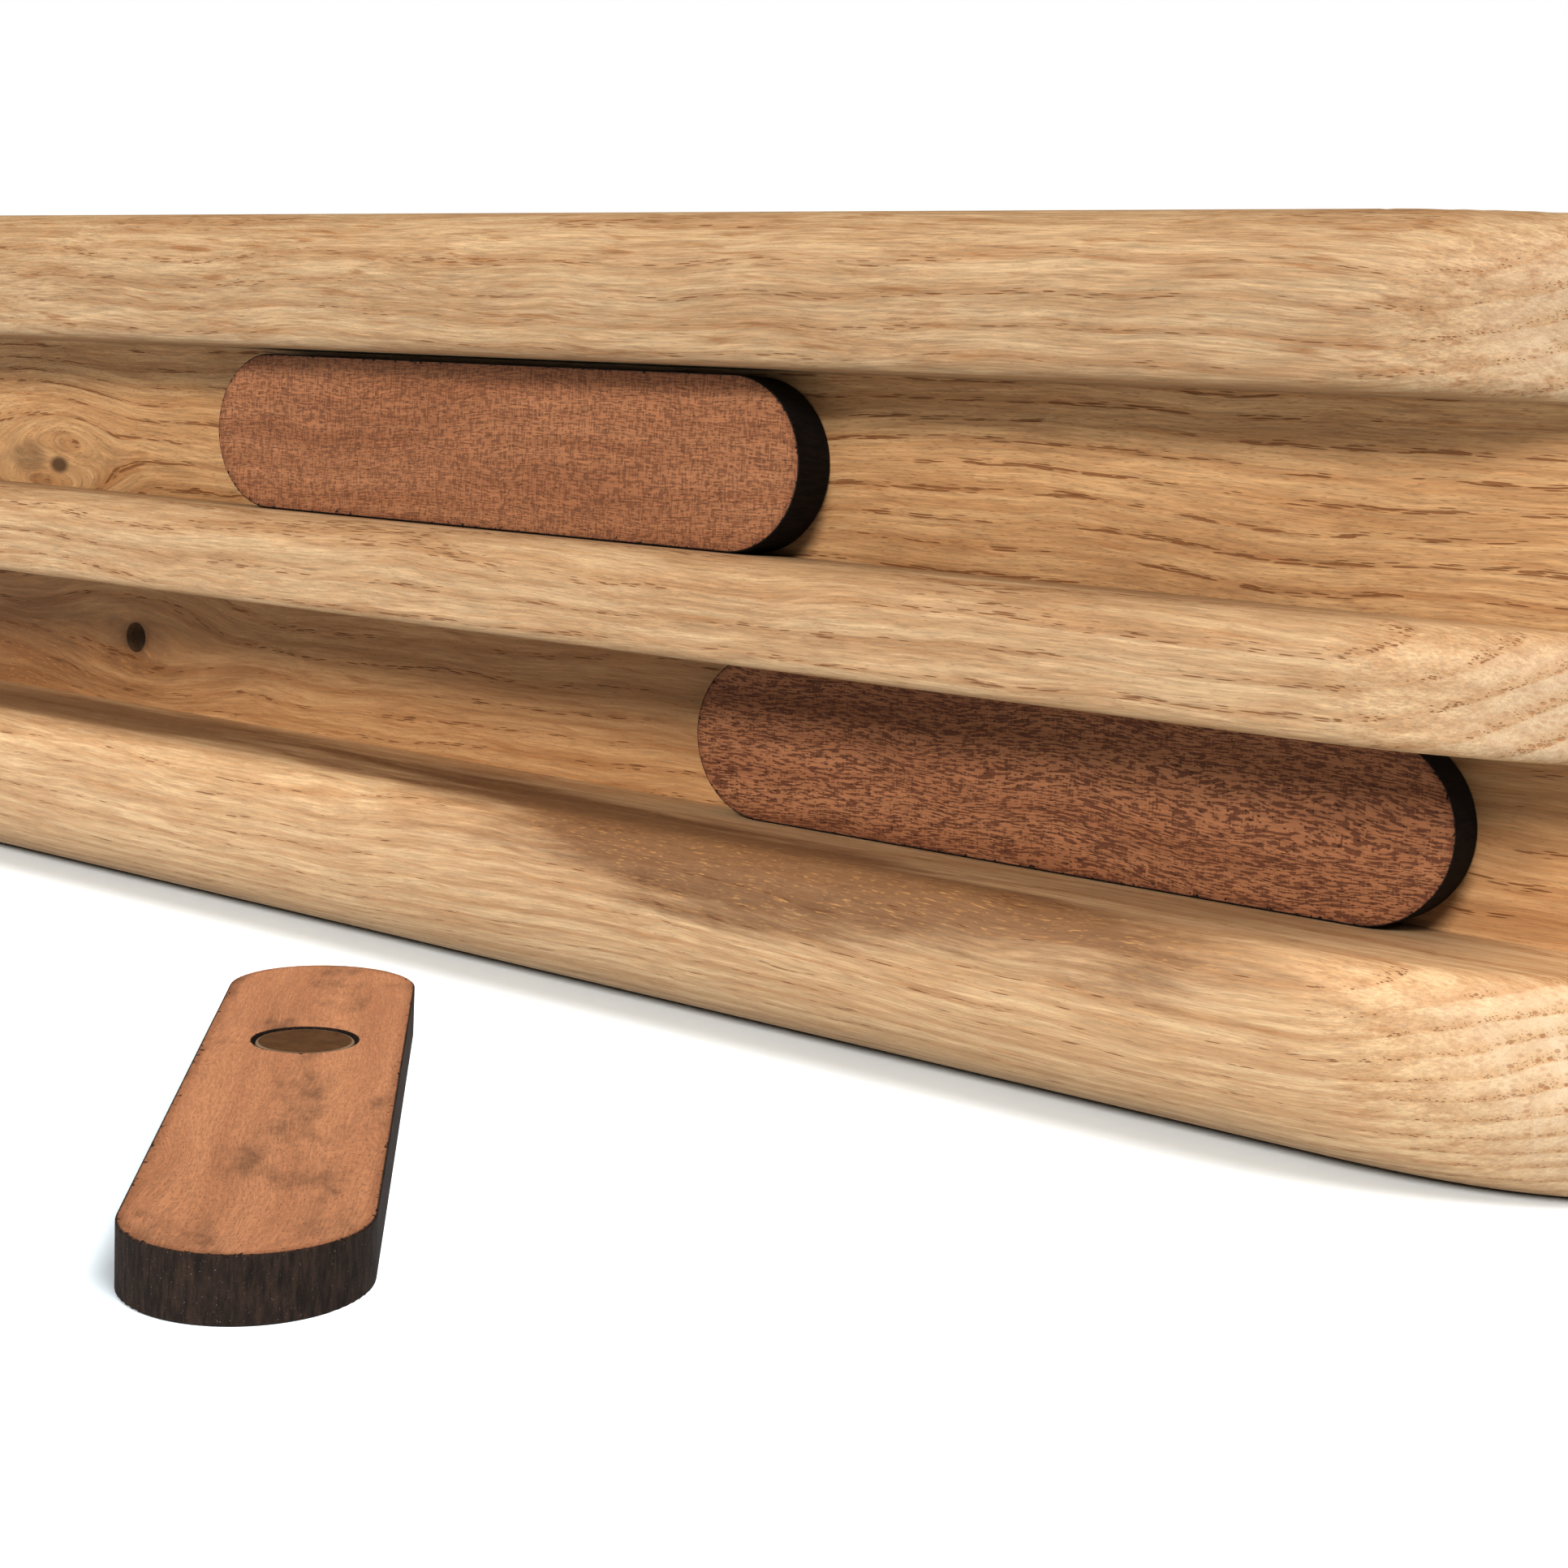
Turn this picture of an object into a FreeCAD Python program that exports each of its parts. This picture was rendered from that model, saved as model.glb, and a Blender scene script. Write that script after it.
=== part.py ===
import FreeCAD, Part
import math
import os

# Oak climbing hangboard with two finger grooves and three loose magnetic inserts.
# Millimetres. X runs along the board, Y into the board (front is -Y), Z is up.
# The origin is the centre of the flat underside, on the surface that the board stands on.

# Board
BOARD_LENGTH = 412.0
BOARD_DEPTH = 48.0
END_RADIUS = 48.0
BOTTOM_RAIL_HEIGHT = 29.4
LOWER_GROOVE_HEIGHT = 24.8
MID_RAIL_HEIGHT = 14.7
UPPER_GROOVE_HEIGHT = 25.5
TOP_RAIL_HEIGHT = 21.1
UPPER_GROOVE_DEPTH = 15.5
LOWER_GROOVE_DEPTH = 29.0

# Rounded edges: size along the straight front, then size where the end meets the back
UNDERSIDE_ROUND = (24.0, 2.5)
SHELF_ROUND = (5.0, 1.5)
MID_TOP_ROUND = (6.5, 1.0)
TOP_ROUND = (11.0, 2.5)
LIP_ROUND = (2.0, 1.0)
BACK_ROUND = 2.5
GROOVE_END_BLEND = 8.0

# Screw holes through the groove floors: one in the middle of the upper, two in the lower
SCREW_HOLE_DIAMETER = 5.5
LOWER_HOLE_X = 91.0

# Inserts and their disc magnets
INSERT_LENGTH = 120.0
INSERT_WIDTH = 24.5
INSERT_THICKNESS = 7.0
INSERT_EDGE = 0.25
MAGNET_DIAMETER = 12.0
MAGNET_THICKNESS = 3.0
MAGNET_EDGE = 0.3
MAGNET_RECESS = 0.15
POCKET_DIAMETER = 12.9
MAGNET_OFFSET = 18.2
INSERT_CLEARANCE = 0.1

# Where the inserts are: two stand in the grooves with their magnets near the screw holes,
# and the third lies on the table in front of the board, magnet up
UPPER_INSERT_X = 17.0
LOWER_INSERT_X = 110.0
LOOSE_X = 63.6
LOOSE_Y = -99.6
LOOSE_HEADING = 134.8

# Worked out from the sizes above
UNDERSIDE_FLAT = BOARD_DEPTH - UNDERSIDE_ROUND[0] - BACK_ROUND
FRONT_Y = -(UNDERSIDE_ROUND[0] + UNDERSIDE_FLAT / 2)
BACK_Y = FRONT_Y + BOARD_DEPTH
UPPER_FLOOR_Y = FRONT_Y + UPPER_GROOVE_DEPTH
LOWER_FLOOR_Y = FRONT_Y + LOWER_GROOVE_DEPTH
SHELF_Z = BOTTOM_RAIL_HEIGHT
MID_RAIL_Z = SHELF_Z + LOWER_GROOVE_HEIGHT
UPPER_GROOVE_Z = MID_RAIL_Z + MID_RAIL_HEIGHT
TOP_RAIL_Z = UPPER_GROOVE_Z + UPPER_GROOVE_HEIGHT
BOARD_HEIGHT = TOP_RAIL_Z + TOP_RAIL_HEIGHT
END_TURN = math.acos(1 - BOARD_DEPTH / END_RADIUS)
STRAIGHT_HALF = BOARD_LENGTH / 2 - END_RADIUS * math.sin(END_TURN)
HOLE_RISE = INSERT_CLEARANCE + INSERT_WIDTH / 2
NEAR = 0.01

EXPORTED = []


def at(x, y, z):
    return FreeCAD.Vector(x, y, z)


def export(name, shape):
    """Write one node, after checking that it is sound."""
    if not shape.isValid() or shape.Volume <= 0:
        raise ValueError(name + " is not a sound solid")
    shape.exportStep(os.path.join("parts", name + ".step"))
    EXPORTED.append((name, shape))


def single(shape):
    """The one solid that a boolean cut leaves."""
    solids = shape.Solids
    if len(solids) != 1:
        raise ValueError("expected one solid, found " + str(len(solids)))
    return solids[0]


def end_point(side, turn, z):
    """A point on the curved end, turn radians round from the straight front."""
    x = STRAIGHT_HALF + END_RADIUS * math.sin(turn)
    y = FRONT_Y + END_RADIUS * (1 - math.cos(turn))
    return at(side * x, y, z)


def plan_prism(z, height):
    """Board outline from above: straight front and back, ends that curve round to the back."""
    right, left = [
        [end_point(side, turn, z) for turn in (0, END_TURN / 2, END_TURN)] for side in (1, -1)
    ]
    edges = [
        Part.LineSegment(left[0], right[0]).toShape(),
        Part.Arc(*right).toShape(),
        Part.LineSegment(right[2], left[2]).toShape(),
        Part.Arc(*reversed(left)).toShape(),
    ]
    return Part.Face(Part.Wire(edges)).extrude(at(0, 0, height))


def is_level(edge, z):
    box = edge.BoundBox
    return abs(box.ZMin - z) < NEAR and abs(box.ZMax - z) < NEAR


def front_edges(shape, z):
    """Edges that run round the front and ends at height z, with the radius order of each."""
    found = []
    for edge in shape.Edges:
        if not is_level(edge, z):
            continue
        start = edge.Vertexes[0].Point
        end = edge.Vertexes[-1].Point
        if start.y > BACK_Y - NEAR and end.y > BACK_Y - NEAR:
            continue
        found.append((edge, start.y, end.y))
    return found


def round_front(shape, z, radii):
    """Round the edge at height z: the first radius along the front, fading to the second."""
    along_front, at_back = radii
    document = FreeCAD.newDocument("rounding")
    blank = document.addObject("Part::Feature", "blank")
    blank.Shape = shape
    rounding = document.addObject("Part::Fillet", "rounding")
    rounding.Base = blank
    settings = []
    for edge, start_y, end_y in front_edges(shape, z):
        for index, candidate in enumerate(shape.Edges, start=1):
            if not candidate.isSame(edge):
                continue
            first = along_front if start_y < FRONT_Y + NEAR else at_back
            last = along_front if end_y < FRONT_Y + NEAR else at_back
            settings.append((index, first, last))
    rounding.Edges = settings
    document.recompute()
    result = rounding.Shape.copy()
    FreeCAD.closeDocument(document.Name)
    return single(result)


def within_back(shape):
    """Trim a strip to the board's back, whose long edges and upright corners are rounded."""
    block = Part.makeBox(BOARD_LENGTH, 2 * BOARD_DEPTH, BOARD_HEIGHT)
    block.translate(at(-BOARD_LENGTH / 2, BACK_Y - 2 * BOARD_DEPTH, 0))
    edges = []
    for edge in block.Edges:
        box = edge.BoundBox
        if box.YMin > BACK_Y - NEAR:
            edges.append(edge)
    return single(shape.common(block.makeFillet(BACK_ROUND, edges)))


def rail(z, height, lower_radii, upper_radii):
    """A full-depth rail, rounded along its lower and upper front edges."""
    blank = round_front(plan_prism(z, height), z, lower_radii)
    return within_back(round_front(blank, z + height, upper_radii))


def groove_floor(z, height, floor_y, hole_xs):
    """The recessed strip behind a groove, drilled for the screws."""
    recess = Part.makeBox(BOARD_LENGTH, floor_y - FRONT_Y, height)
    recess.translate(at(-BOARD_LENGTH / 2, FRONT_Y, z))
    strip = single(plan_prism(z, height).cut(recess))
    blends = []
    for edge in strip.Edges:
        box = edge.BoundBox
        if box.ZLength > height - NEAR and abs(box.YMax - floor_y) < NEAR:
            blends.append(edge)
    strip = within_back(single(strip.makeFillet(GROOVE_END_BLEND, blends)))
    for x in hole_xs:
        centre = at(x, FRONT_Y, z + HOLE_RISE)
        drill = Part.makeCylinder(SCREW_HOLE_DIAMETER / 2, 2 * BOARD_DEPTH, centre, at(0, 1, 0))
        strip = single(strip.cut(drill))
    return strip


def insert_blank():
    """Stadium plate lying flat, face down on z = 0, magnet pocket open at the top."""
    straight = INSERT_LENGTH / 2 - INSERT_WIDTH / 2
    half = INSERT_WIDTH / 2
    right = (at(straight, -half, 0), at(straight + half, 0, 0), at(straight, half, 0))
    left = (at(-straight, half, 0), at(-straight - half, 0, 0), at(-straight, -half, 0))
    edges = [
        Part.LineSegment(left[2], right[0]).toShape(),
        Part.Arc(*right).toShape(),
        Part.LineSegment(right[2], left[0]).toShape(),
        Part.Arc(*left).toShape(),
    ]
    plate = Part.Face(Part.Wire(edges)).extrude(at(0, 0, INSERT_THICKNESS))
    rims = [edge for edge in plate.Edges if edge.BoundBox.ZLength < NEAR]
    plate = plate.makeFillet(INSERT_EDGE, rims)
    depth = MAGNET_THICKNESS + MAGNET_RECESS
    pocket = Part.makeCylinder(
        POCKET_DIAMETER / 2, depth, at(MAGNET_OFFSET, 0, INSERT_THICKNESS - depth)
    )
    return single(plate.cut(pocket))


def magnet_blank():
    """Disc seated on the floor of the pocket, a hair below the insert's back."""
    base = INSERT_THICKNESS - MAGNET_THICKNESS - MAGNET_RECESS
    disc = Part.makeCylinder(MAGNET_DIAMETER / 2, MAGNET_THICKNESS, at(MAGNET_OFFSET, 0, base))
    rims = [edge for edge in disc.Edges if edge.BoundBox.ZLength < NEAR]
    return single(disc.makeFillet(MAGNET_EDGE, rims))


def lying(heading, x, y):
    """Flat on the table with the magnet up."""
    turn = FreeCAD.Rotation(at(0, 0, 1), heading)
    return FreeCAD.Placement(at(x, y, 0), turn)


def standing(x, floor_y, z):
    """Upright in a groove, magnet against the groove floor."""
    tip_up = FreeCAD.Rotation(at(1, 0, 0), -90)
    turn_over = FreeCAD.Rotation(at(0, 1, 0), 180)
    back_y = floor_y - INSERT_CLEARANCE
    centre = at(x, back_y - INSERT_THICKNESS, z + HOLE_RISE)
    return FreeCAD.Placement(centre, turn_over.multiply(tip_up))


def export_insert(place, placement):
    for name, shape in ((place + "_insert", insert_blank()), (place + "_magnet", magnet_blank())):
        shape.Placement = placement
        export(name, shape)


def report():
    for name, shape in EXPORTED:
        box = shape.BoundBox
        print(name, "volume", round(shape.Volume), "box",
              [round(value, 2) for value in (box.XMin, box.YMin, box.ZMin, box.XMax, box.YMax, box.ZMax)])


def main():
    os.makedirs("parts", exist_ok=True)
    export("bottom_rail", rail(0, BOTTOM_RAIL_HEIGHT, UNDERSIDE_ROUND, SHELF_ROUND))
    lower_floor = groove_floor(
        SHELF_Z, LOWER_GROOVE_HEIGHT, LOWER_FLOOR_Y, (-LOWER_HOLE_X, LOWER_HOLE_X)
    )
    export("lower_groove_floor", lower_floor)
    export("mid_rail", rail(MID_RAIL_Z, MID_RAIL_HEIGHT, LIP_ROUND, MID_TOP_ROUND))
    upper_floor = groove_floor(UPPER_GROOVE_Z, UPPER_GROOVE_HEIGHT, UPPER_FLOOR_Y, (0,))
    export("upper_groove_floor", upper_floor)
    export("top_rail", rail(TOP_RAIL_Z, TOP_RAIL_HEIGHT, LIP_ROUND, TOP_ROUND))
    export_insert("upper", standing(UPPER_INSERT_X, UPPER_FLOOR_Y, UPPER_GROOVE_Z))
    export_insert("lower", standing(LOWER_INSERT_X, LOWER_FLOOR_Y, SHELF_Z))
    export_insert("loose", lying(LOOSE_HEADING, LOOSE_X, LOOSE_Y))
    report()


main()
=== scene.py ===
import math

import bpy
from mathutils import Matrix, Vector


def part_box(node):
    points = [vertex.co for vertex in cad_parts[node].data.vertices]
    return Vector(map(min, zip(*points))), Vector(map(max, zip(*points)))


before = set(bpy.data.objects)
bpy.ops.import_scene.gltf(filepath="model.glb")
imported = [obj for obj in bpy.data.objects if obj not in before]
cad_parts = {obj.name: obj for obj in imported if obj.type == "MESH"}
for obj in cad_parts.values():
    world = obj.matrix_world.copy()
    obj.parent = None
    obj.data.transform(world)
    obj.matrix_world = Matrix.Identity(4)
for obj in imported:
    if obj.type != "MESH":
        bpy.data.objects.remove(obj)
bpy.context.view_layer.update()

# Looks, light and camera for an oak fingerboard with three magnetic inserts. Every piece is its CAD
# body: only materials are added. Texture sizes are in millimetres of the CAD frame.

MM = 0.001


# ---------------------------------------------------------------- node helpers


def linear(red, green, blue):
    """A colour given as 0 to 255 display values, as Blender's linear RGBA."""
    def one(value):
        value = value / 255
        return value / 12.92 if value <= 0.04045 else ((value + 0.055) / 1.055) ** 2.4
    return (one(red), one(green), one(blue), 1.0)


class Graph:
    """Builds one material's nodes. Inputs may be numbers, vectors, colours or sockets."""

    def __init__(self, name):
        self.material = bpy.data.materials.new(name)
        self.material.use_nodes = True
        self.tree = self.material.node_tree
        self.tree.nodes.clear()

    def node(self, kind, **settings):
        made = self.tree.nodes.new(kind)
        for key, value in settings.items():
            setattr(made, key, value)
        return made

    def feed(self, socket, value):
        if isinstance(value, bpy.types.NodeSocket):
            self.tree.links.new(value, socket)
        elif value is not None:
            socket.default_value = value

    def maths(self, operation, first, second=None, third=None):
        made = self.node("ShaderNodeMath", operation=operation)
        for socket, value in zip(made.inputs, (first, second, third)):
            self.feed(socket, value)
        return made.outputs[0]

    def vector(self, operation, first, second=None, scale=None):
        made = self.node("ShaderNodeVectorMath", operation=operation)
        self.feed(made.inputs[0], first)
        self.feed(made.inputs[1], second)
        if operation == "SCALE":
            self.feed(made.inputs["Scale"], scale)
        is_number = operation in ("LENGTH", "DOT_PRODUCT")
        return made.outputs["Value" if is_number else "Vector"]

    def stretch(self, vector, frequencies):
        """Coordinates scaled per axis: a small frequency draws the pattern out along that axis."""
        return self.vector("MULTIPLY", vector, frequencies)

    def split(self, vector):
        made = self.node("ShaderNodeSeparateXYZ")
        self.feed(made.inputs[0], vector)
        return made.outputs[0], made.outputs[1], made.outputs[2]

    def join(self, x, y, z):
        made = self.node("ShaderNodeCombineXYZ")
        for socket, value in zip(made.inputs, (x, y, z)):
            self.feed(socket, value)
        return made.outputs[0]

    def noise(self, vector, scale=1.0, detail=2.0, roughness=0.5):
        made = self.node("ShaderNodeTexNoise", noise_dimensions="3D")
        self.feed(made.inputs["Vector"], vector)
        made.inputs["Scale"].default_value = scale
        made.inputs["Detail"].default_value = detail
        made.inputs["Roughness"].default_value = roughness
        return made.outputs["Fac"]

    def cells(self, vector):
        """Distance to the nearest of many scattered points."""
        made = self.node("ShaderNodeTexVoronoi", voronoi_dimensions="3D", feature="F1")
        self.feed(made.inputs["Vector"], vector)
        made.inputs["Scale"].default_value = 1.0
        return made.outputs["Distance"]

    def fade(self, value, start, end, low=0.0, high=1.0):
        """low up to start, high from end, smooth between them."""
        made = self.node("ShaderNodeMapRange", interpolation_type="SMOOTHSTEP")
        for key, setting in zip(("Value", "From Min", "From Max", "To Min", "To Max"),
                                (value, start, end, low, high)):
            self.feed(made.inputs[key], setting)
        return made.outputs[0]

    def mix(self, amount, first, second):
        made = self.node("ShaderNodeMix", data_type="RGBA")
        self.feed(made.inputs["Factor"], amount)
        self.feed(made.inputs["A"], first)
        self.feed(made.inputs["B"], second)
        return made.outputs["Result"]

    def bump(self, height, distance, strength):
        made = self.node("ShaderNodeBump")
        made.inputs["Strength"].default_value = strength
        made.inputs["Distance"].default_value = distance
        self.feed(made.inputs["Height"], height)
        return made.outputs[0]

    def millimetres(self):
        """The object's own coordinates, in millimetres of the CAD frame."""
        place = self.node("ShaderNodeTexCoord").outputs["Object"]
        return self.vector("SCALE", place, scale=1 / MM)

    def finish(self, colour, roughness, normal, specular, metallic=0.0):
        shader = self.node("ShaderNodeBsdfPrincipled")
        self.feed(shader.inputs["Base Color"], colour)
        self.feed(shader.inputs["Roughness"], roughness)
        self.feed(shader.inputs["Normal"], normal)
        shader.inputs["Metallic"].default_value = metallic
        shader.inputs["Specular IOR Level"].default_value = specular
        output = self.node("ShaderNodeOutputMaterial")
        self.tree.links.new(shader.outputs[0], output.inputs[0])
        return self.material


# ---------------------------------------------------------------- oak

OAK_BODY = linear(176, 143, 107)
OAK_PALE = linear(194, 166, 131)
OAK_WARM = linear(157, 113, 73)
OAK_HEART = linear(120, 86, 57)
OAK_GOLD = linear(212, 166, 104)
OAK_KNOT = linear(74, 48, 28)
OAK_PORE = linear(120, 74, 36)
OAK_END = linear(191, 171, 147)
OAK_END_WARM = linear(182, 154, 121)
OAK_END_PORE = linear(146, 103, 66)
PLAIN_BOARD = (1.0, 1.0, 1.0)
# Tints of the two groove floors: partly a warmer wood, partly painted shade colour for the grooves'
# recesses.
UPPER_FLOOR_WARMTH_AND_SHADE = (1.08, 0.96, 0.80)
LOWER_FLOOR_WARMTH_AND_SHADE = (1.08, 0.93, 0.76)

# Pattern frequencies per millimetre: along the grain (X), then across it (Y, Z)
WANDER_Y = (0.010, 0.02, 0.02)
WANDER_Z = (0.014, 0.03, 0.03)
FIBRE = (0.14, 3.6, 3.6)
THREAD = (0.030, 0.62, 0.62)
STREAK = (0.075, 0.95, 0.95)
VESSEL_GAPS = (0.055, 0.45, 0.45)
VESSEL = (0.20, 4.1, 4.1)
PIT = (0.45, 3.0, 3.0)
END_DOT = (0.35, 1.15, 1.15)
HEART_WISP = (0.03, 0.22, 0.22)
HEART_FLECK = (0.5, 5.0, 5.0)

OAK_RELIEF = 0.10 * MM


def oak_knots(g, place, z, knots):
    """Pushes the grain's height aside round each knot, and marks the dark cores."""
    dark = None
    for centre, radius, darkness in knots:
        away = g.vector("SUBTRACT", place, centre)
        near = g.vector("LENGTH", g.stretch(away, (0.45, 0.6, 1.0)))
        push = g.fade(near, radius, radius * 6, 0.75, 0.0)
        z = g.maths("SUBTRACT", z, g.maths("MULTIPLY", push, g.split(away)[2]))
        core = g.fade(g.vector("LENGTH", g.stretch(away, (0.6, 0.2, 1.0))),
                      radius * 0.5, radius * 1.2, darkness, 0.0)
        dark = core if dark is None else g.maths("MAXIMUM", dark, core)
    return z, dark


def oak_vessels(g, grain, seeded, early, end, pores):
    """Long thin vessels, short fine pits, and the dots that vessels make in end grain."""
    gaps = g.noise(g.stretch(seeded, VESSEL_GAPS), detail=3.0, roughness=0.65)
    room = g.maths("MULTIPLY", early, g.maths("MAXIMUM", g.fade(gaps, 0.40, 0.54), end))
    near = g.cells(g.stretch(grain, VESSEL))
    pore = g.fade(g.maths("MULTIPLY_ADD", room, -0.56 * pores, near), -0.12, 0.04, 1.0, 0.0)
    pit = g.fade(g.cells(g.stretch(seeded, PIT)), 0.14 * pores, 0.30 * pores, 1.0, 0.0)
    dotted = g.maths("MULTIPLY", end, g.fade(early, 0.0, 1.0, 0.35, 1.0))
    dots = g.cells(g.stretch(seeded, END_DOT))
    dot = g.maths("MULTIPLY", g.fade(dots, 0.18, 0.38, 1.0, 0.0), dotted)
    return pore, pit, dot


def oak_rays(g, x, out, radius, pith, end):
    """Medullary rays: pale lines that run out from the pith across the end grain."""
    angle = g.maths("ARCTAN2", g.split(out)[2], g.split(out)[1])
    around = g.maths("MULTIPLY", angle, math.hypot(*pith) * 1.3)
    sheets = g.join(g.maths("MULTIPLY", x, 0.06), g.maths("MULTIPLY", radius, 0.06), around)
    return g.maths("MULTIPLY", g.fade(g.noise(sheets, detail=1.0), 0.52, 0.66), end)


def oak_heart(g, place, grain, colour, centre, half, slant, strength):
    """A brown heartwood cloud with drawn-out, wispy edges and fine golden flecks."""
    away = g.vector("SUBTRACT", place, centre)
    x, y, z = g.split(away)
    level = g.join(x, g.maths("MULTIPLY_ADD", x, slant, y), z)
    wisps = g.noise(g.stretch(grain, HEART_WISP), detail=5.0, roughness=0.62)
    distance = g.vector("LENGTH", g.vector("DIVIDE", level, half))
    cloud = g.fade(g.maths("MULTIPLY_ADD", wisps, -1.5, distance), -0.25, 0.40, 1.0, 0.0)
    flecks = g.noise(g.stretch(grain, HEART_FLECK), detail=1.0)
    gold = g.maths("MULTIPLY", g.fade(flecks, 0.62, 0.70), cloud)
    colour = g.mix(g.maths("MULTIPLY", cloud, strength), colour, OAK_HEART)
    return g.mix(g.maths("MULTIPLY", gold, 0.35), colour, OAK_GOLD)


def oak(name, seed, pith, ring, tone, tint=PLAIN_BOARD, pores=1.0, fibre_depth=0.62,
        streaks=0.5, hearts=(), knots=()):
    """Solid oak. The grain runs along X round a pith line at (y, z) in millimetres.

    ring: width of a growth ring. tone: brightness. tint: colour factor on the long grain.
    pores, streaks: how strong they are. fibre_depth: how far fibres vary the brightness.
    hearts: (centre, half sizes, slant, strength) of brown heartwood clouds.
    knots: (centre, radius, darkness) of pin knots that the grain flows round.
    """
    g = Graph(name)
    place = g.millimetres()
    seeded = g.vector("ADD", place, (seed * 131.0, seed * 37.0, seed * 71.0))

    # slow wander of the grain, and its flow round the knots
    wander_y = g.noise(g.stretch(seeded, WANDER_Y), detail=2.0)
    wander_z = g.noise(g.stretch(seeded, WANDER_Z), detail=3.0)
    x, y, z = g.split(place)
    y = g.maths("MULTIPLY_ADD", wander_y, 7.0, y)
    z = g.maths("MULTIPLY_ADD", wander_z, 8.0, z)
    z, knot_mask = oak_knots(g, place, z, knots)
    grain = g.join(x, y, z)

    # how far the surface has turned from long grain to end grain
    facing = g.maths("ABSOLUTE", g.split(g.node("ShaderNodeTexCoord").outputs["Normal"])[0])
    end = g.fade(facing, 0.20, 0.72)

    # growth rings: a porous early band, wider on end grain, then dense late wood
    out = g.stretch(g.vector("SUBTRACT", grain, (0.0, pith[0], pith[1])), (0.0, 1.0, 1.0))
    radius = g.vector("LENGTH", out)
    phase = g.maths("FRACT", g.maths("DIVIDE", radius, ring))
    late = g.fade(end, 0.0, 1.0, 0.42, 0.80)
    early = g.maths("MULTIPLY", g.fade(phase, 0.0, 0.08), g.fade(phase, 0.12, late, 1.0, 0.0))

    # fibres and figure along the grain
    fibre = g.noise(g.stretch(grain, FIBRE), detail=5.0, roughness=0.78)
    thread = g.noise(g.stretch(grain, THREAD), detail=4.0, roughness=0.65)
    slope = g.join(x, y, g.maths("MULTIPLY_ADD", x, 0.07, z))
    streak = g.noise(g.stretch(slope, STREAK), detail=3.0, roughness=0.6)

    pore, pit, dot = oak_vessels(g, grain, seeded, early, end, pores)
    ray = oak_rays(g, x, out, radius, pith, end)

    # long grain
    colour = g.mix(g.fade(thread, 0.36, 0.66), OAK_BODY, OAK_PALE)
    colour = g.mix(g.fade(streak, 0.54, 0.72, 0.0, streaks), colour, OAK_WARM)
    colour = g.mix(g.maths("MULTIPLY", early, 0.30), colour, OAK_WARM)
    for centre, half, slant, strength in hearts:
        colour = oak_heart(g, place, grain, colour, centre, half, slant, strength)
    shade = g.maths("MULTIPLY_ADD", g.maths("SUBTRACT", fibre, 0.5), 2 * fibre_depth, tone)
    colour = g.vector("MULTIPLY", g.vector("SCALE", colour, scale=shade), tint)

    # end grain and rays, then the holes over both
    sawn = g.vector("SCALE", g.mix(early, OAK_END, OAK_END_WARM), scale=tone)
    colour = g.mix(g.maths("MULTIPLY", end, 0.62), colour, sawn)
    colour = g.mix(g.maths("MULTIPLY", ray, 0.40), colour, OAK_END)
    porous = g.mix(end, OAK_PORE, OAK_END_PORE)
    colour = g.mix(g.maths("MULTIPLY", pit, 0.36), colour, porous)
    pore_strength = g.fade(end, 0.0, 1.0, 0.80, 0.45)
    colour = g.mix(g.maths("MULTIPLY", pore_strength, pore), colour, porous)
    colour = g.mix(g.maths("MULTIPLY", dot, 0.85), colour, porous)
    if knot_mask is not None:
        colour = g.mix(knot_mask, colour, OAK_KNOT)

    sunk = g.maths("MAXIMUM", pore, dot)
    height = g.maths("MULTIPLY_ADD", sunk, -1.0, g.maths("MULTIPLY", fibre, 0.8))
    normal = g.bump(height, OAK_RELIEF, 0.9)
    roughness = g.maths("MULTIPLY_ADD", fibre, 0.16, 0.50)
    return g.finish(colour, roughness, normal, specular=0.30)


# ---------------------------------------------------------------- inserts

SAPELE_BODY = linear(160, 109, 75)
SAPELE_PALE = linear(178, 127, 91)
SAPELE_DARK = linear(96, 54, 36)
SAPELE_PORE = linear(48, 27, 18)
SAPELE_WORN = linear(176, 148, 126)
SMUDGE = linear(74, 56, 46)
CHAR = linear(17, 12, 9)
CHAR_WARM = linear(39, 28, 22)
CHAR_GLINT = linear(112, 98, 88)

# Pattern frequencies per millimetre: along the insert, across its width, through its thickness
DRIFT = (0.025, 0.07, 0.07)
INSERT_FIBRE = (0.12, 4.2, 4.2)
DASH = (0.60, 4.4, 4.4)
TICK = (3.6, 0.7, 0.7)
RIBBON = (0.020, 0.30, 0.10)
INSERT_PORE = (0.75, 3.2, 3.2)
SMOKE = (0.05, 0.11, 0.1)
LASER_COMB = (1.7, 1.7, 0.3)

INSERT_RELIEF = 0.09 * MM


def soot_colour(g, seeded, combed, soot):
    """Charred wood: upright laser striations and fine glints."""
    sooty = g.mix(g.fade(combed, 0.32, 0.72), CHAR, CHAR_WARM)
    glint = g.fade(g.noise(seeded, scale=5.0, detail=1.0), 0.70, 0.78)
    sooty = g.mix(g.maths("MULTIPLY", glint, 0.35), sooty, CHAR_GLINT)
    return g.vector("SCALE", sooty, scale=soot)


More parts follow.
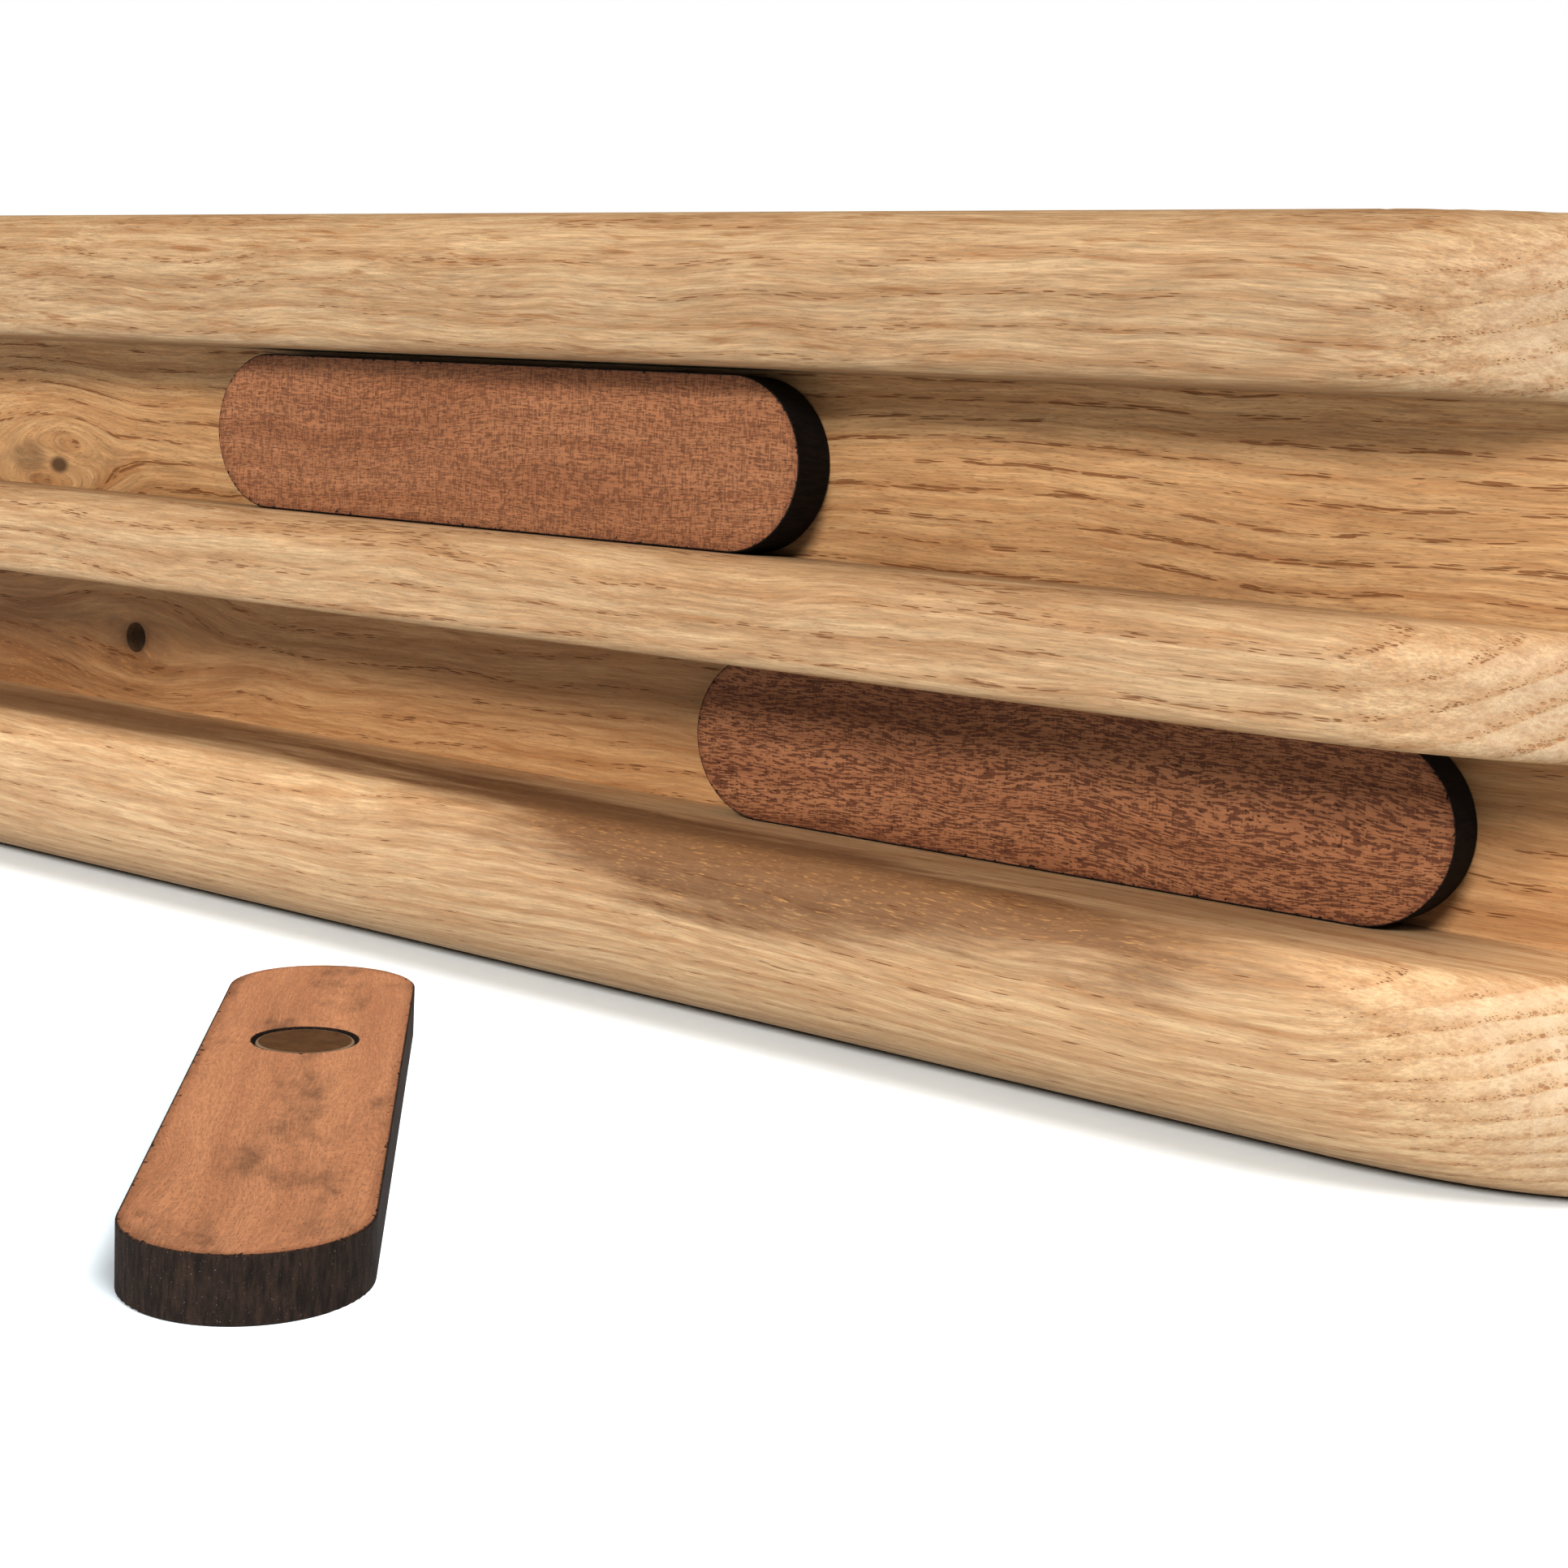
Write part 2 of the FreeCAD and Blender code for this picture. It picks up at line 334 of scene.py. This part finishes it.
def burnt_edges(g, place, seeded, size, magnet):
    """Charred outline and pocket rim with a ragged limit, and the distance in from the outline."""
    x, y, z = place
    offset, pocket_radius, pocket_depth = magnet
    length, width = size
    straight = (length - width) / 2
    beyond = g.maths("MAXIMUM", g.maths("SUBTRACT", g.maths("ABSOLUTE", x), straight), 0.0)
    inside = g.maths("SUBTRACT", width / 2, g.vector("LENGTH", g.join(beyond, y, 0.0)))
    aside = g.vector("LENGTH", g.join(g.maths("SUBTRACT", x, offset), y, 0.0))
    pocket = g.maths("SUBTRACT", aside, pocket_radius)
    ragged = g.noise(seeded, scale=1.1, detail=4.0, roughness=0.7)
    chips = g.fade(ragged, 0.56, 0.74, 0.0, 0.9)
    side = g.fade(g.maths("SUBTRACT", inside, chips), 0.10, 0.34, 1.0, 0.0)
    rim = g.fade(g.maths("SUBTRACT", pocket, chips), 0.06, 0.20, 1.0, 0.0)
    shallow = g.fade(z, -pocket_depth - 0.6, -pocket_depth - 0.2)
    burnt = g.maths("MAXIMUM", side, g.maths("MULTIPLY", rim, shallow))
    return burnt, inside


def sapele(name, seed, centre, along, normal, size, magnet, weave, dashes, tone,
           smudges=0.0, worn=0.0, soot=1.0):
    """Reddish hardwood with charred laser-cut sides, in the insert's own frame.

    centre is on the magnet's face, along runs towards the magnet, normal points out of that
    face. size: (length, width). magnet: (offset along, pocket radius, pocket depth).
    weave: strength of the cross flecks. dashes: of the dark dashes. tone, soot: brightness of
    the wood and of the char. worn, smudges: how much greyed and smoked the face is.
    """
    g = Graph(name)
    from_centre = g.vector("SUBTRACT", g.millimetres(), centre)
    x = g.vector("DOT_PRODUCT", from_centre, along)
    y = g.vector("DOT_PRODUCT", from_centre, normal.cross(along))
    z = g.vector("DOT_PRODUCT", from_centre, normal)
    seeded = g.vector("ADD", g.join(x, y, z), (seed * 97.0, seed * 53.0, seed * 29.0))

    # interlocked grain: dark dashes along the length, crossed by fine ray flecks
    drift = g.noise(g.stretch(seeded, DRIFT), detail=2.0)
    grain = g.vector("ADD", seeded, g.join(0.0, g.maths("MULTIPLY", drift, 7.0), 0.0))
    fibre = g.noise(g.stretch(grain, INSERT_FIBRE), detail=4.0, roughness=0.75)
    dash = g.noise(g.stretch(grain, DASH), detail=1.0)
    tick = g.noise(g.stretch(grain, TICK), detail=1.0)
    ribbon = g.noise(g.stretch(grain, RIBBON), detail=3.0)
    woven = g.maths("MULTIPLY_ADD", g.maths("SUBTRACT", tick, 0.5), 0.75 * weave, dash)
    woven = g.maths("MULTIPLY_ADD", g.maths("SUBTRACT", ribbon, 0.5), 0.06, woven)
    dark = g.fade(woven, 0.47, 0.58)
    pore = g.fade(g.cells(g.stretch(grain, INSERT_PORE)), 0.10, 0.26, 1.0, 0.0)

    colour = g.mix(g.fade(ribbon, 0.25, 0.75), SAPELE_PALE, SAPELE_BODY)
    colour = g.mix(g.maths("MULTIPLY", dark, 0.62 * dashes), colour, SAPELE_DARK)
    colour = g.mix(g.maths("MULTIPLY", pore, 0.62 * dashes), colour, SAPELE_PORE)
    shade = g.maths("MULTIPLY_ADD", g.maths("SUBTRACT", fibre, 0.5), 0.95, tone)
    colour = g.vector("SCALE", colour, scale=shade)
    if worn:
        colour = g.mix(worn, colour, SAPELE_WORN)
    if smudges:
        smoke = g.noise(g.stretch(seeded, SMOKE), detail=6.0, roughness=0.62)
        colour = g.mix(g.fade(smoke, 0.50, 0.76, 0.0, smudges), colour, SMUDGE)

    burnt, inside = burnt_edges(g, (x, y, z), seeded, size, magnet)
    colour = g.mix(g.fade(inside, 0.3, 1.6, 0.30, 0.0), colour, SAPELE_DARK)
    combed = g.noise(g.stretch(seeded, LASER_COMB), detail=4.0, roughness=0.65)
    colour = g.mix(burnt, colour, soot_colour(g, seeded, combed, soot))

    sunk = g.maths("MAXIMUM", pore, g.maths("MULTIPLY", dark, 0.3))
    relief = g.maths("MULTIPLY_ADD", sunk, -0.8, g.maths("MULTIPLY", fibre, 0.9))
    relief = g.maths("MULTIPLY_ADD", g.maths("MULTIPLY", burnt, combed), 1.2, relief)
    bumped = g.bump(relief, INSERT_RELIEF, 0.9)
    roughness = g.maths("MULTIPLY_ADD", burnt, 0.22, 0.60)
    return g.finish(colour, roughness, bumped, specular=0.22)


MAGNET_FILM = linear(98, 70, 46)
MAGNET_FILM_PALE = linear(116, 86, 60)
MAGNET_SPECK = linear(150, 122, 92)
MAGNET_RIM = linear(196, 178, 156)
MAGNET_SCRATCH = (0.8, 9.0, 1.0)
MAGNET_RELIEF = 0.02 * MM


def plated(name, centre, radius, normal):
    """Dull plated disc: brown film, a bright ring round the edge, specks and hairline scratches."""
    g = Graph(name)
    place = g.vector("SUBTRACT", g.millimetres(), centre)
    outward = g.vector("DOT_PRODUCT", place, normal)
    flat = g.vector("SUBTRACT", place, g.vector("SCALE", tuple(normal), scale=outward))
    rim = g.fade(g.vector("LENGTH", flat), radius - 0.50, radius - 0.12)
    film = g.noise(place, scale=0.5, detail=4.0, roughness=0.6)
    speck = g.noise(place, scale=4.5, detail=3.0, roughness=0.7)
    scratch = g.noise(g.stretch(place, MAGNET_SCRATCH), detail=2.0)
    colour = g.mix(g.fade(film, 0.30, 0.70), MAGNET_FILM, MAGNET_FILM_PALE)
    colour = g.mix(g.fade(speck, 0.56, 0.74, 0.0, 0.45), colour, MAGNET_SPECK)
    colour = g.mix(g.maths("MULTIPLY", rim, 0.7), colour, MAGNET_RIM)
    roughness = g.maths("MULTIPLY_ADD", scratch, 0.22, 0.36)
    bumped = g.bump(g.maths("ADD", scratch, speck), MAGNET_RELIEF, 0.5)
    return g.finish(colour, roughness, bumped, specular=0.5, metallic=0.6)


# ---------------------------------------------------------------- dress the CAD nodes


def middle(node):
    low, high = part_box(node)
    return (Vector(low) + Vector(high)) / 2


def paint(node, material):
    mesh_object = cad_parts[node]
    for slot in mesh_object.material_slots:
        slot.material = material
    if not mesh_object.material_slots:
        mesh_object.data.materials.append(material)


def dress_rails():
    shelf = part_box("bottom_rail")[1][2] / MM
    shelf_cloud = ((72.0, -31.0, shelf - 2.0), (130.0, 12.0, 9.0), 0.13, 0.90)
    left_cloud = ((-85.0, -20.0, shelf), (70.0, 14.0, 5.0), 0.0, 0.60)
    top = oak("oak_top", 1, pith=(50.0, -30.0), ring=3.4, tone=0.75, pores=0.6, streaks=0.75)
    mid = oak("oak_mid", 3, pith=(45.0, -20.0), ring=3.0, tone=0.81, pores=0.7, streaks=0.35)
    bottom = oak("oak_bottom", 5, pith=(10.0, -60.0), ring=2.6, tone=0.95, pores=0.6,
                 streaks=0.45, hearts=(shelf_cloud, left_cloud))
    paint("top_rail", top)
    paint("mid_rail", mid)
    paint("bottom_rail", bottom)


def dress_groove_floors():
    upper_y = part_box("upper_groove_floor")[0][1] / MM
    lower_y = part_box("lower_groove_floor")[0][1] / MM
    upper_z = middle("upper_groove_floor").z / MM
    lower_z = middle("lower_groove_floor").z / MM
    knot = ((-95.0, upper_y, upper_z - 9.0), 1.7, 0.85)
    knot_smudge = ((-104.0, upper_y, upper_z - 8.0), 3.4, 0.40)
    round_the_hole = ((-91.0, lower_y, lower_z), 3.0, 0.5)
    floor_cloud = ((-150.0, lower_y, lower_z - 6.0), (90.0, 6.0, 10.0), 0.0, 0.6)
    # The floors' tints are partly a warmer wood and partly painted shade colour for the grooves'
    # recesses.
    upper = oak("oak_upper", 2, pith=(40.0, 25.0), ring=2.4, tone=0.78, tint=UPPER_FLOOR_WARMTH_AND_SHADE,
                streaks=0.45, knots=(knot, knot_smudge))
    lower = oak("oak_lower", 4, pith=(60.0, 85.0), ring=2.4, tone=0.82, tint=LOWER_FLOOR_WARMTH_AND_SHADE,
                pores=0.7, fibre_depth=0.45, hearts=(floor_cloud,), knots=(round_the_hole,))
    paint("upper_groove_floor", upper)
    paint("lower_groove_floor", lower)


POCKET_GAP = 0.45
INSERT_LOOKS = {
    "upper": dict(seed=1, weave=1.1, dashes=0.85, tone=0.76),
    "lower": dict(seed=2, weave=0.35, dashes=1.25, tone=0.76),
    # The loose insert's higher tone is partly a paler piece and partly painted light, for its face
    # lying flat under light from above.
    "loose": dict(seed=3, weave=0.8, dashes=0.42, tone=1.08, smudges=0.7, worn=0.22, soot=2.2),
}


def dress_inserts():
    low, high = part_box("upper_insert")
    size = ((high[0] - low[0]) / MM, (high[2] - low[2]) / MM)
    offset = (middle("upper_insert") - middle("upper_magnet")).x / MM
    disc_low, disc_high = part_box("upper_magnet")
    radius = (disc_high[0] - disc_low[0]) / MM / 2
    pocket = (offset, radius + POCKET_GAP, (disc_high[1] - disc_low[1]) / MM)
    for which, look in INSERT_LOOKS.items():
        insert, magnet = which + "_insert", which + "_magnet"
        normal = Vector((0.0, 0.0, 1.0) if which == "loose" else (0.0, 1.0, 0.0))
        along = middle(magnet) - middle(insert)
        along = (along - normal * along.dot(normal)).normalized()
        far_corner = Vector(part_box(insert)[1]) / MM
        centre = middle(insert) / MM
        centre += normal * normal.dot(far_corner - centre)
        paint(insert, sapele("sapele_" + which, centre=centre, along=along, normal=normal,
                             size=size, magnet=pocket, **look))
        paint(magnet, plated("magnet_" + which, middle(magnet) / MM, radius, normal))


# ---------------------------------------------------------------- stage, light, camera

FLOOR_HALF = 6.0
FLOOR_WHITE = (0.86, 0.93, 0.98, 1.0)
FLOOR_ROUGHNESS = 0.9
LAMP_DISTANCE = 2
KEY = dict(azimuth=4.0, elevation=28.0, spread=18.0, strength=3.5)
SIDE = dict(azimuth=80.0, elevation=50.0, spread=34.0, strength=3.8)
WORLD_FILL = 0.098
WORLD_TINT = (1.0, 0.80, 0.60)
WHITE = (1.0, 1.0, 1.0, 1.0)
VIEW_GAMMA = 0.8

CAMERA_PLACE = (0.2712, -0.2777, 0.0835)
CAMERA_RIGHT = (0.8312, 0.5522, 0.0649)
CAMERA_AHEAD = (-0.5386, 0.8287, -0.1520)
CAMERA_SENSOR = 36.0
CAMERA_LENS = 53.0
CAMERA_SHIFT = (-0.1165, 0.0221)
CAMERA_CLIP = (0.01, 50.0)


def floor():
    half = FLOOR_HALF
    mesh = bpy.data.meshes.new("floor")
    corners = [(-half, -half, 0.0), (half, -half, 0.0), (half, half, 0.0), (-half, half, 0.0)]
    mesh.from_pydata(corners, [], [(0, 1, 2, 3)])
    surface = bpy.data.objects.new("floor", mesh)
    bpy.context.scene.collection.objects.link(surface)
    g = Graph("floor_white")
    mesh.materials.append(g.finish(FLOOR_WHITE, FLOOR_ROUGHNESS, None, specular=0.0))


def sun(name, azimuth, elevation, spread, strength):
    """A distant soft light. Azimuth turns from straight in front (-Y) towards +X."""
    data = bpy.data.lights.new(name, "SUN")
    data.angle = math.radians(spread)
    data.energy = strength
    lamp = bpy.data.objects.new(name, data)
    turn, lift = math.radians(azimuth), math.radians(elevation)
    towards = Vector((math.sin(turn) * math.cos(lift), -math.cos(turn) * math.cos(lift),
                      math.sin(lift)))
    lamp.location = towards * LAMP_DISTANCE
    lamp.rotation_euler = towards.to_track_quat("Z", "Y").to_euler()
    bpy.context.scene.collection.objects.link(lamp)
    return lamp


def backdrop():
    """Pure white behind the scene, and a weak warm fill where the world only lights it."""
    world = bpy.data.worlds.new("studio")
    world.use_nodes = True
    tree = world.node_tree
    seen = tree.nodes.new("ShaderNodeLightPath")
    level = tree.nodes.new("ShaderNodeMix")
    level.data_type = "RGBA"
    level.inputs["A"].default_value = tuple(WORLD_FILL * part for part in WORLD_TINT) + (1.0,)
    level.inputs["B"].default_value = WHITE
    tree.links.new(seen.outputs["Is Camera Ray"], level.inputs["Factor"])
    tree.links.new(level.outputs["Result"], tree.nodes["Background"].inputs["Color"])
    bpy.context.scene.world = world


def lights():
    """Two soft suns. The key throws no shadow of the loose insert, which would fall behind it."""
    key = sun("key", **KEY)
    shadows = bpy.data.collections.new("key_shadows")
    for node in ("loose_insert", "loose_magnet"):
        shadows.objects.link(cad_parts[node])
    for item in shadows.collection_objects:
        item.light_linking.link_state = "EXCLUDE"
    key.light_linking.blocker_collection = shadows
    sun("side", **SIDE)


def camera():
    data = bpy.data.cameras.new("camera")
    data.sensor_width = CAMERA_SENSOR
    data.lens = CAMERA_LENS
    data.shift_x, data.shift_y = CAMERA_SHIFT
    data.clip_start, data.clip_end = CAMERA_CLIP
    view = bpy.data.objects.new("camera", data)
    right = Vector(CAMERA_RIGHT).normalized()
    ahead = Vector(CAMERA_AHEAD).normalized()
    ahead = (ahead - right * ahead.dot(right)).normalized()
    turn = Matrix((right, right.cross(ahead), -ahead)).transposed()
    view.matrix_world = Matrix.Translation(CAMERA_PLACE) @ turn.to_4x4()
    bpy.context.scene.collection.objects.link(view)
    bpy.context.scene.camera = view


camera()
dress_rails()
dress_groove_floors()
dress_inserts()
floor()
backdrop()
lights()
bpy.context.scene.view_settings.view_transform = "Standard"
bpy.context.scene.view_settings.gamma = VIEW_GAMMA
